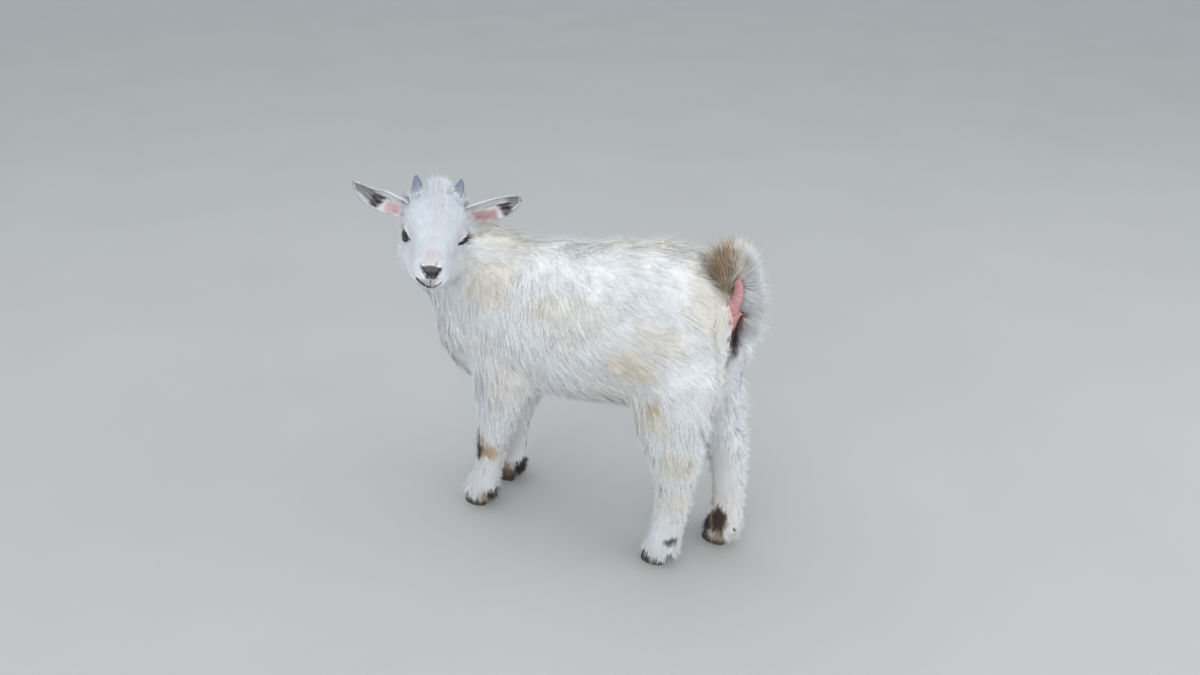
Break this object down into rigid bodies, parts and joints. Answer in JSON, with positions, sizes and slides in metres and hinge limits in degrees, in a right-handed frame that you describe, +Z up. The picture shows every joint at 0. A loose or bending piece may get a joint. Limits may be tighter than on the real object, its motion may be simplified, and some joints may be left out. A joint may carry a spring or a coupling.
{
  "type": "goat kid",
  "caption": "Life-size still model of a white goat kid standing with its head turned back over its left shoulder and its tail raised.",
  "frame": {"origin": "middle of the bounding box on the floor, at the level of the soles", "axes": "+Z up, the trunk points along -X, the animal's left side faces -Y; the nose points back to +X and -Y"},
  "size_m": [0.4242, 0.1762, 0.3973],
  "materials": {
    "coat": "white kid coat, coarse and slightly shaggy, with faint cream patches",
    "tail_coat": "tan hair with dark streaks and a white fringe",
    "ear_coat": "short white hair outside, pink skin and dark streaks inside",
    "eye": "wet gloss, dark brown",
    "horn": "slate horn, satin",
    "hoof": "dark horn, satin"
  },
  "bodies": {
    "root": {"trunk": "coat", "head": "coat", "neck": "coat", "tail": "tail_coat", "leg_front_left": "coat", "leg_front_right": "coat", "leg_hind_left": "coat", "leg_hind_right": "coat", "ear_left": "ear_coat", "ear_right": "ear_coat", "eye_left": "eye", "eye_right": "eye", "horn_left": "horn", "horn_right": "horn", "hoof_front_left_inner": "hoof", "hoof_front_left_outer": "hoof", "hoof_front_right_inner": "hoof", "hoof_front_right_outer": "hoof", "hoof_hind_left_inner": "hoof", "hoof_hind_left_outer": "hoof", "hoof_hind_right_inner": "hoof", "hoof_hind_right_outer": "hoof", "dewclaw_front_left_inner": "hoof", "dewclaw_front_left_outer": "hoof", "dewclaw_front_right_inner": "hoof", "dewclaw_front_right_outer": "hoof", "dewclaw_hind_left_inner": "hoof", "dewclaw_hind_left_outer": "hoof", "dewclaw_hind_right_inner": "hoof", "dewclaw_hind_right_outer": "hoof"}
  },
  "joints": []
}
